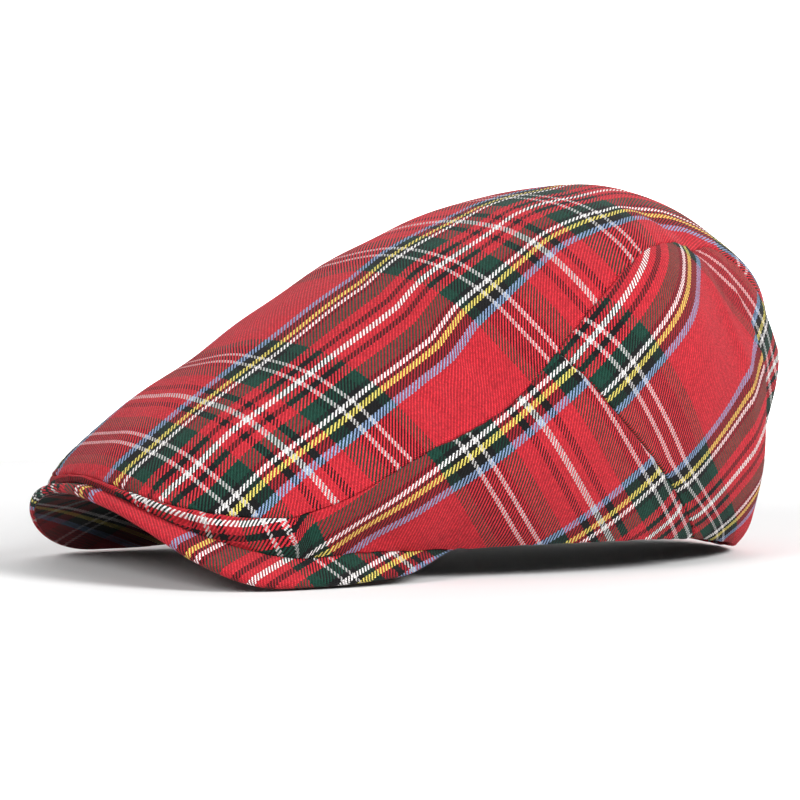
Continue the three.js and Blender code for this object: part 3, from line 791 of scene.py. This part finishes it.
def build_top():
    u = stations(TOP_WIDTH) * 2 - 1
    v = stations(TOP_LENGTH)
    coarse_u, coarse_v = np.linspace(-1, 1, 31), np.linspace(0, 1, 45)
    place = flat_map(top_point, coarse_u, coarse_v, (15, 0), (15, 44))
    uv = top_cloth(place(u, v))
    grid_u, grid_v = np.meshgrid(u, v, indexing="ij")
    points = top_point(grid_u, grid_v)
    normals = top_normal(grid_u, grid_v)
    hand = np.where(grid_u < 0, -1.0, 1.0)
    left, right = run_lengths(points, 0)
    front, behind = run_lengths(points, 1)
    beside = seam_normal(mix(AT_CORNER, AT_TONGUE, v))
    flip = np.array([-1.0, 1.0, 1.0])
    normals = toward_seam(normals, np.broadcast_to(beside[None], points.shape), right)
    normals = toward_seam(normals, np.broadcast_to((beside * flip)[None], points.shape), left)
    ends = ((np.abs(u) * AT_CORNER, front), (1 - np.abs(u) * (1 - AT_TONGUE), behind))
    for station, distance in ends:
        shared = np.broadcast_to(seam_normal(station)[:, None], points.shape).copy()
        shared[..., 0] *= hand
        normals = toward_seam(normals, shared, distance)
    return cloth_panel("top_cloth", points, normals, uv, (1, 1, 1, 1))


# ---------------------------------------------------------------- walls
LIP_GRAIN_FROM, LIP_GRAIN_OVER = 0.19, 0.05
CORNER_GRAIN_FROM, CORNER_GRAIN_OVER = 0.20, 0.05
# Along the lip by station: how far below the seam the white pivot line runs, and where the
# cross lines fall, which lean back towards the seam.
LIP_PIVOT = [(0, -3.0), (0.085, -1.6), (0.10, 1.2), (0.12, 2.0), (0.165, 3.6), (0.185, 3.0),
             (0.192, 1.6), (0.2, -0.6)]
LIP_ALONG = [(0, -66), (0.15, -8), (0.163, 0), (0.18, 10.5), (0.1945, 25.2), (0.2, 30), (0.23, 42),
             (0.255, 48)]
LIP_LEAN = 0.0045
BACK_SLIP, BACK_SLIP_BELOW, BACK_SLIP_OVER = 19.0, 0.3, 0.9
FRONT_SEAM = 0.2                # the short seam at the middle of the front is pressed flat


def wall_panel_grid(surface, station_of, length, height):
    a, w = stations(length), stations(height, step=1.3)
    grid_a, grid_w = np.meshgrid(a, w, indexing="ij")
    s = station_of(grid_a, grid_w)
    points = surface(grid_a, grid_w)
    # The low lip is nearly upright, so its normals turn evenly from its foot to the seam.
    across_lip = unit(mix(foot_outward(s), seam_normal(s), grid_w[..., None]))
    normals = unit(mix(wall_normal(s, grid_w), across_lip, lip_share(s)[..., None]))
    _, to_seam = run_lengths(points, 1)
    normals = toward_seam(normals, seam_normal(s[:, -1])[:, None], to_seam)
    return a, w, s, points, normals


def both_sides(name, points, normals, uv, sewn):
    """The panel at +X and its mirror image. The cloth itself isn't mirrored, only turned."""
    left = cloth_panel(name + "_left", points, normals, uv, sewn)
    turned = uv[::-1] * np.array([-1.0, 1.0])
    other = (sewn[1], sewn[0], sewn[2], sewn[3])
    right = cloth_panel(name + "_right", mirror(points), mirror(normals), turned, other)
    return left, right


def build_side():
    parts = wall_panel_grid(side_point, lambda a, w: a * slant_station(w), SIDE_LENGTH, SIDE_HEIGHT)
    a, w, s, points, normals = parts
    place = flat_map(side_point, np.linspace(0, 1, 61), np.linspace(0, 1, 15), (20, 0), (60, 7))
    flat = place(a, w)
    flat = np.stack([flat[..., 1], -flat[..., 0]], -1)
    uv = turned_cloth(flat, SIDE_TURN, SIDE_ACROSS, SIDE_ALONG)
    # Along the low lip in front the white pivot line follows the strip.
    grid_w = np.broadcast_to(w[None], s.shape)
    lip = np.linalg.norm(points - seam_point(s), axis=-1) - table_at(LIP_PIVOT, s)
    share = 1 - smooth((s - LIP_GRAIN_FROM) / LIP_GRAIN_OVER)
    uv[..., 0] = mix(uv[..., 0], lip, share)
    share = 1 - smooth((s - CORNER_GRAIN_FROM) / CORNER_GRAIN_OVER)
    lean = LIP_LEAN * (1 - grid_w) * smooth(s / LIP_FROM)
    uv[..., 1] = mix(uv[..., 1], table_at(LIP_ALONG, s - lean), share)
    return both_sides("side_cloth", points, normals, uv, (FRONT_SEAM, 1, 0, 1))


def build_back():
    parts = wall_panel_grid(back_point, lambda a, w: mix(slant_station(w), 1, a), BACK_LENGTH, BACK_HEIGHT)
    a, w, s, points, normals = parts
    place = flat_map(back_point, np.linspace(0, 1, 41), np.linspace(0, 1, 15), (0, 7), (40, 7))
    flat = place(a, w)
    flat = np.stack([flat[..., 1], -flat[..., 0]], -1)
    uv = turned_cloth(flat, BACK_TURN, BACK_ACROSS, BACK_ALONG)
    low = np.clip(1 - w / BACK_SLIP_BELOW, 0, 1) ** 1.8
    uv[..., 1] -= BACK_SLIP * low[None] * (1 - smooth(a / BACK_SLIP_OVER))[:, None]
    return both_sides("back_cloth", points, normals, uv, (1, 1, 0, 1))


# ---------------------------------------------------------------- peak
PEAK_ACROSS_CELLS, PEAK_DEEP_CELLS, RIM_CELLS = 260, 56, 12
TAIL_TUCK, TAIL_THIN, TAIL_FROM = 3.6, 0.75, -46.0   # its tails slip in under the crown


def peak_edge(t):
    turn = np.clip(t / PEAK_FRONT_SHARE, 0, 1) * (math.pi / 2)
    power = 2 / PEAK_SQUARENESS
    front_x = PEAK_HALF_WIDTH * np.sin(turn) ** power
    front_y = PEAK_CORNER_Y - PEAK_REACH * np.maximum(0, np.cos(turn)) ** power
    back = np.clip((t - PEAK_FRONT_SHARE) / (1 - PEAK_FRONT_SHARE), 0, 1)
    in_front = t < PEAK_FRONT_SHARE
    x = np.where(in_front, front_x, mix(PEAK_HALF_WIDTH, PEAK_TAIL_X, back ** PEAK_TAIL_BEND))
    y = np.where(in_front, front_y, mix(PEAK_CORNER_Y, JOINT_Y, back))
    return x, y


def opening_plan(turn, inset):
    x = (OPENING_HALF_WIDTH - inset) * np.cos(turn)
    return x, OPENING_Y + (OPENING_HALF_LENGTH - inset) * np.sin(turn)


def peak_cloth(points):
    arc = ARCH_RADIUS * np.arcsin(np.clip(points[..., 0] / ARCH_RADIUS, -1, 1))
    y = points[..., 1]
    turn = math.radians(PEAK_TURN)
    across = arc * math.cos(turn) + y * math.sin(turn) - PEAK_PIVOT
    along = y * math.cos(turn) - arc * math.sin(turn) - PEAK_CROSS
    return np.stack([across, along], -1)


def peak_surface(x, y):
    lean = x / ARCH_RADIUS
    normal = np.stack([lean, 0 * x, np.sqrt(1 - lean * lean)], -1)
    return np.stack([x, y, arch_z(x, y)], -1), normal


def build_peak():
    """The peak's board with cloth on both faces, rolled over its rim."""
    t = np.linspace(-1, 1, PEAK_ACROSS_CELLS + 1)
    hand = np.where(t < 0, -1.0, 1.0)
    edge_x, edge_y = peak_edge(np.abs(t))
    tail = smooth((edge_y - TAIL_FROM) / (JOINT_Y - TAIL_FROM))
    edge_x = edge_x - TAIL_TUCK * tail
    in_x, in_y = opening_plan(mix(-math.pi / 2, TURN_FRONT, np.abs(t)), CLOTH + GAP)
    thickness = (PEAK_THICKNESS * (1 - TAIL_THIN * tail))[:, None]
    rim_radius = thickness / 2
    reach = np.hypot(edge_x - in_x, edge_y - in_y)[:, None]
    share = np.linspace(0, 1, PEAK_DEEP_CELLS + 1)[None] * (1 - rim_radius / reach)
    x = hand[:, None] * mix(in_x[:, None], edge_x[:, None], share)
    y = mix(in_y[:, None], edge_y[:, None], share)
    top, normal = peak_surface(x, y)
    edge_normal = normal[:, -1]
    edge_middle = top[:, -1] - edge_normal * rim_radius
    level = np.stack([hand * (edge_x - in_x), edge_y - in_y, 0 * t], -1)
    away = unit(level - edge_normal * (level * edge_normal).sum(-1, keepdims=True))
    turn = np.linspace(0, math.pi, RIM_CELLS + 1)[1:-1]
    rim = edge_middle[:, None] + rim_radius[..., None] * (
        edge_normal[:, None] * np.cos(turn)[None, :, None] + away[:, None] * np.sin(turn)[None, :, None])
    down = normal.copy()
    down[:, 0] = UP / normal[:, 0, 2:3]     # upright face at the opening
    under = (top - down * thickness[..., None])[:, ::-1]
    section = np.concatenate([top, rim, under], 1)
    slack = 0.12 * ripple(section, 41, 30.0) * smooth(np.arange(section.shape[1]) / 6)[None]
    section = section + grid_normals(section) * slack[..., None]
    rows, columns = section.shape[:2]
    faces = grid_faces(rows, columns).tolist()
    index = np.arange(rows * columns).reshape(rows, columns)
    inner_edge = np.stack([index[:-1, -1], index[1:, -1], index[1:, 0], index[:-1, 0]], -1)
    faces += inner_edge.tolist()
    faces.append(index[0, ::-1].tolist())
    faces.append(index[-1].tolist())
    # Over the rim the cloth keeps running in the direction of the rim.
    beyond = np.concatenate([np.zeros(PEAK_DEEP_CELLS + 1), turn * PEAK_THICKNESS / 2,
                             np.full(PEAK_DEEP_CELLS + 1, math.pi * PEAK_THICKNESS / 2)])
    spread = np.concatenate([top, np.broadcast_to(top[:, -1:], rim.shape), under], 1)
    out = away[:, None] * beyond[None, :, None]
    is_top = (np.arange(columns) <= PEAK_DEEP_CELLS)[None, :, None]
    is_under = (np.arange(columns) > PEAK_DEEP_CELLS + len(turn))[None, :, None]
    uv = peak_cloth(np.where(is_top | is_under, spread, spread + out))
    uv = np.where(is_under, uv * np.array([-1.0, 1.0]), uv)
    if faces_point_in(section, faces[0]):
        faces = [face[::-1] for face in faces]
    piece = make_mesh("peak_cloth", section.reshape(-1, 3), faces, uv.reshape(-1, 2), tartan)
    # The faces under the peak take the tartan darkened by painted shade.
    piece.data.materials.append(tartan_painted_shade)
    below = np.tile(np.arange(columns - 1) >= PEAK_DEEP_CELLS + RIM_CELLS, rows - 1)
    painted_shade_slot = np.zeros(len(faces), dtype=np.int32)
    painted_shade_slot[:len(below)] = below
    piece.data.polygons.foreach_set("material_index", painted_shade_slot)
    return piece


def faces_point_in(section, face):
    corners = section.reshape(-1, 3)[face[:3]]
    return np.cross(corners[1] - corners[0], corners[2] - corners[1])[2] < 0


# ---------------------------------------------------------------- sweatband
BAND_THICKNESS, BAND_INSET = 1.0, CLOTH + 2 * GAP
BAND_ROUND_CELLS, BAND_HIGH_CELLS = 420, 14
STITCH_PITCH, STITCH_LENGTH, STITCH_RADIUS, STITCH_ABOVE_EDGE = 3.2, 2.3, 0.28, 2.6


def band_foot_z(x, y):
    front = arch_z(x, y) - PEAK_THICKNESS
    return mix(front, hem_z(y) + BAND_LIFT, smooth((y - JOINT_Y) / BAND_BLEND + 0.5))


def station_of_turn(turn):
    """The station round the crown of a turn round the opening, the same on both sides."""
    turn = math.pi / 2 - np.abs((turn - math.pi / 2 + math.pi) % (2 * math.pi) - math.pi)
    return AT_JOINT + (1 - AT_JOINT) * (turn - TURN_FRONT) / (math.pi / 2 - TURN_FRONT)


def band_ring(inset, height, turn):
    inset = inset + drawn_in(station_of_turn(turn), height + BAND_LIFT)
    x, y = opening_plan(turn, inset)
    return np.stack([x, y, band_foot_z(x, y) + height], -1)


def build_band():
    turn = np.linspace(0, 2 * math.pi, BAND_ROUND_CELLS, endpoint=False)[:, None]
    half = BAND_THICKNESS / 2
    up = np.linspace(half, BAND_HEIGHT - half, BAND_HIGH_CELLS + 1)
    bend = np.linspace(0, math.pi, 7)[1:-1]
    heights = np.concatenate([up, up[-1] + half * np.sin(bend), up[::-1], up[0] - half * np.sin(bend)])
    insets = np.concatenate([0 * up, half - half * np.cos(bend), BAND_THICKNESS + 0 * up,
                             half + half * np.cos(bend)])
    section = band_ring(BAND_INSET + insets[None], heights[None], turn)
    # The stitches draw the cloth in a little along the lower edge.
    inside = (insets > half).astype(float)
    groove = 0.2 * np.exp(-((heights - STITCH_ABOVE_EDGE) / 0.7) ** 2) * inside
    outward = unit(np.stack([np.cos(turn) / OPENING_HALF_WIDTH, np.sin(turn) / OPENING_HALF_LENGTH,
                             0 * turn], -1))
    section = section + outward * groove[None, :, None]
    rows, columns = section.shape[:2]
    index = np.arange(rows * columns).reshape(rows, columns)
    after = np.roll(index, -1, axis=0)
    beside, beside_after = np.roll(index, -1, axis=1), np.roll(after, -1, axis=1)
    faces = np.stack([index, after, beside_after, beside], -1).reshape(-1, 4).tolist()
    run = np.arange(rows)[:, None] * (2 * math.pi * 92 / rows)
    uv = np.stack(np.broadcast_arrays(run, heights[None]), -1)
    return make_mesh("band_cloth", section.reshape(-1, 3), faces, uv.reshape(-1, 2), band_cloth)


def stitch(middle, along, out, radius, length):
    """A short thread lying on a surface, as an eight-sided spindle."""
    places = np.array([-0.5, -0.38, -0.15, 0.15, 0.38, 0.5])
    widths = np.array([0.25, 0.85, 1.0, 1.0, 0.85, 0.25]) * radius
    side = np.cross(along, out)
    turn = np.linspace(0, 2 * math.pi, 8, endpoint=False)
    ring = side[None] * np.cos(turn)[:, None] + out[None] * np.sin(turn)[:, None]
    return middle + along * (places * length)[:, None, None] + ring[None] * widths[:, None, None]


def stitches_mesh(name, spindles):
    points, faces, uv = [], [], []
    first = 0
    for spindle in spindles:
        count = spindle.shape[1]
        for ring in range(len(spindle) - 1):
            for k in range(count):
                a, b = first + ring * count + k, first + ring * count + (k + 1) % count
                faces.append([a, b, b + count, a + count])
        faces.append([first + k for k in range(count)][::-1])
        faces.append([first + (len(spindle) - 1) * count + k for k in range(count)])
        points.append(spindle.reshape(-1, 3))
        along, round_it = np.arange(len(spindle)) * 0.4, np.arange(count) * 0.2
        grid = np.stack(np.meshgrid(along, round_it, indexing="ij"), -1)
        uv.append(grid.reshape(-1, 2))
        first += spindle.shape[0] * spindle.shape[1]
    return make_mesh(name, np.concatenate(points), faces, np.concatenate(uv), stitch_thread)


def build_band_stitches():
    fine = np.linspace(0, 2 * math.pi, 4001)
    line = band_ring(BAND_INSET + BAND_THICKNESS - 0.12, STITCH_ABOVE_EDGE, fine)
    run = np.concatenate([[0], np.cumsum(np.linalg.norm(np.diff(line, axis=0), axis=1))])
    count = int(run[-1] / STITCH_PITCH)
    turns = np.interp((np.arange(count) + 0.5) * run[-1] / count, run, fine)
    spindles = []
    for turn in turns:
        inset = BAND_INSET + BAND_THICKNESS - 0.12
        here = band_ring(inset, STITCH_ABOVE_EDGE, turn)
        along = unit(band_ring(inset, STITCH_ABOVE_EDGE, turn + 0.004) - here)
        inward = -unit(np.array([math.cos(turn) / OPENING_HALF_WIDTH,
                                 math.sin(turn) / OPENING_HALF_LENGTH, 0.0]))
        spindles.append(stitch(here, along, inward, STITCH_RADIUS, STITCH_LENGTH))
    return stitches_mesh("band_stitches", spindles)


# ---------------------------------------------------------------- lining
LINING_THICKNESS = 1.0
LINING_ROUND_CELLS, LINING_HIGH_CELLS = 300, 80
LINING_SEAM_DEPTH, LINING_GATHERS, LINING_GATHER_DEPTH = 0.5, 46, 0.35


def build_lining():
    turn = np.linspace(0, 2 * math.pi, LINING_ROUND_CELLS, endpoint=False)[:, None]
    high = np.linspace(0, 1, LINING_HIGH_CELLS + 1)[None, :-1]
    layers = []
    for drop in (0.0, LINING_THICKNESS):
        rim = band_ring(BAND_INSET + drop, BAND_HEIGHT + GAP, turn)
        out = 1 - high
        rise = 1 - out ** LINING_FULLNESS
        x = rim[..., 0] * out
        y = mix(LINING_APEX_Y, rim[..., 1], out)
        z = mix(rim[..., 2], LINING_APEX_Z - drop, rise)
        points = np.stack([x, y, z], -1)
        inward = unit(np.array([0.0, LINING_APEX_Y, 60.0]) - points)
        gather = LINING_GATHER_DEPTH * (1 + np.sin(turn * LINING_GATHERS)) * np.exp(-high / 0.1)
        valley = LINING_SEAM_DEPTH * np.exp(-(x / 1.2) ** 2)
        slack = 0.5 * (1 + ripple(points, 51, 38.0)) * smooth(high / 0.1)
        layers.append(points + inward * (gather * smooth(high / 0.02) + valley + slack)[..., None])
    outer, inner = layers
    rows, columns = outer.shape[:2]
    count = rows * columns
    tips = np.array([[0.0, LINING_APEX_Y, LINING_APEX_Z - 0.5], [0.0, LINING_APEX_Y, LINING_APEX_Z - 1.5]])
    points = np.concatenate([outer.reshape(-1, 3), inner.reshape(-1, 3), tips])
    faces = grid_faces(rows, columns, closed=True).tolist()
    faces += grid_faces(rows, columns, first=count, closed=True)[:, ::-1].tolist()
    index = np.arange(count).reshape(rows, columns)
    after = np.roll(index, -1, axis=0)
    faces += np.stack([index[:, 0], index[:, 0] + count, after[:, 0] + count, after[:, 0]], -1).tolist()
    for k in range(rows):
        faces.append([index[k, -1], after[k, -1], 2 * count])
        faces.append([after[k, -1] + count, index[k, -1] + count, 2 * count + 1])
    run = LINING_HIGH_CELLS * 1.6 * high
    flat = np.stack([np.cos(turn) * (130 - run), np.sin(turn) * (130 - run)], -1)
    uv = np.concatenate([flat.reshape(-1, 2)] * 2 + [np.zeros((2, 2))])
    return make_mesh("lining_satin", points, faces, uv, lining_cloth)


# ---------------------------------------------------------------- pieces, and what they stand for
def belongs(piece, node):
    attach(piece, "root")
    if node:
        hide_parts(node)
    return piece


top = belongs(build_top(), "top_panel")
sides = build_side()
backs = build_back()
for piece, side in zip(sides, ("left", "right")):
    belongs(piece, "side_panel_" + side)
for piece, side in zip(backs, ("left", "right")):
    belongs(piece, "back_panel_" + side)
peak = belongs(build_peak(), "peak")
band = belongs(build_band(), "sweatband")
stitches = belongs(build_band_stitches(), None)
lining = belongs(build_lining(), "lining")


# ---------------------------------------------------------------- floor, light and camera
def simple_material(name, colour, roughness):
    material = bpy.data.materials.new(name)
    material.use_nodes = True
    shader = material.node_tree.nodes["Principled BSDF"]
    shader.inputs["Base Color"].default_value = (*colour, 1)
    shader.inputs["Roughness"].default_value = roughness
    return material


def build_plane(name, middle, right, up, size, material):
    half_right, half_up = right * size[0] / 2, up * size[1] / 2
    corners = [middle - half_right - half_up, middle + half_right - half_up,
               middle + half_right + half_up, middle - half_right + half_up]
    mesh = bpy.data.meshes.new(name)
    mesh.from_pydata([tuple(corner) for corner in corners], [], [(0, 1, 2, 3)])
    mesh.materials.append(material)
    plane = bpy.data.objects.new(name, mesh)
    bpy.context.scene.collection.objects.link(plane)
    return plane


def glowing_material(name, strength):
    material = simple_material(name, (1, 1, 1), 1.0)
    shader = material.node_tree.nodes["Principled BSDF"]
    shader.inputs["Emission Color"].default_value = (1, 1, 1, 1)
    shader.inputs["Emission Strength"].default_value = strength
    return material


def add_light(name, place, target, size, power):
    data = bpy.data.lights.new(name, "AREA")
    data.shape = "DISK"
    data.size = size
    data.energy = power
    light = bpy.data.objects.new(name, data)
    light.location = place
    light.rotation_euler = (Vector(target) - Vector(place)).to_track_quat("-Z", "Y").to_euler()
    bpy.context.scene.collection.objects.link(light)
    return light


CAMERA_AZIMUTH, CAMERA_ELEVATION, CAMERA_DISTANCE = 63.4, 4.2, 2.5
CAMERA_TARGET = Vector((0, 0.020, 0.050))
CAMERA_RIGHT, CAMERA_UP, CAMERA_LENS = -0.0240, 0.0082, 305.6


def camera_axes():
    turn, tilt = math.radians(CAMERA_AZIMUTH), math.radians(CAMERA_ELEVATION)
    back = Vector((math.sin(turn) * math.cos(tilt), -math.cos(turn) * math.cos(tilt), math.sin(tilt)))
    right = Vector((math.cos(turn), math.sin(turn), 0))
    return right, back.cross(right), back


def add_camera():
    right, up, back = camera_axes()
    aim = CAMERA_TARGET + right * CAMERA_RIGHT + up * CAMERA_UP
    data = bpy.data.cameras.new("camera")
    data.lens = CAMERA_LENS
    data.sensor_width = 36.0
    data.dof.use_dof = False
    camera = bpy.data.objects.new("camera", data)
    camera.location = aim + back * CAMERA_DISTANCE
    camera.rotation_euler = (-back).to_track_quat("-Z", "Y").to_euler()
    bpy.context.scene.collection.objects.link(camera)
    bpy.context.scene.camera = camera


def set_world():
    world = bpy.data.worlds.new("studio")
    world.use_nodes = True
    background = world.node_tree.nodes["Background"]
    background.inputs["Color"].default_value = (1, 1, 1, 1)
    background.inputs["Strength"].default_value = 0.24
    bpy.context.scene.world = world


def studio_place(turn, tilt, distance):
    """A place round the cap, turned from the camera towards the right of the picture."""
    azimuth, tilt = math.radians(CAMERA_AZIMUTH + turn), math.radians(tilt)
    level = math.cos(tilt)
    away = Vector((math.sin(azimuth) * level, -math.cos(azimuth) * level, math.sin(tilt)))
    return CAMERA_TARGET + away * distance


# The white backdrop stands farther off than a camera that goes round behind the cap. Its foot
# lies on the floor and reaches back towards the cap.
FLOOR_SIZE, BACKDROP_DISTANCE, BACKDROP_SIZE, BACKDROP_GLOW = 14.0, 3.4, (7.65, 3.83), 1.0
FOOT_FROM, FOOT_HEIGHT = 0.45, 0.0005
right, up, back = camera_axes()
level_back = Vector((back.x, back.y, 0)).normalized()
build_plane("floor", Vector((0, 0, 0)), Vector((1, 0, 0)), Vector((0, 1, 0)), (FLOOR_SIZE, FLOOR_SIZE),
            simple_material("pale_floor", (0.80, 0.80, 0.80), 0.9))
white_glow = glowing_material("backdrop", BACKDROP_GLOW)
build_plane("backdrop", -level_back * BACKDROP_DISTANCE + Vector((0, 0, BACKDROP_SIZE[1] / 2)), right,
            Vector((0, 0, 1)), BACKDROP_SIZE, white_glow)
foot_middle = -level_back * (FOOT_FROM + BACKDROP_DISTANCE) / 2 + Vector((0, 0, FOOT_HEIGHT))
build_plane("backdrop_foot", foot_middle, right, -level_back,
            (BACKDROP_SIZE[0], BACKDROP_DISTANCE - FOOT_FROM), white_glow)
add_light("key", studio_place(48, 34, 2.6), CAMERA_TARGET, 1.3, 76)
add_light("fill", studio_place(-34, 32, 2.6), CAMERA_TARGET, 1.1, 36)
add_light("overhead", studio_place(0, 80, 2.2), CAMERA_TARGET, 1.6, 5)
set_world()
add_camera()
bpy.context.scene.view_settings.view_transform = "Standard"

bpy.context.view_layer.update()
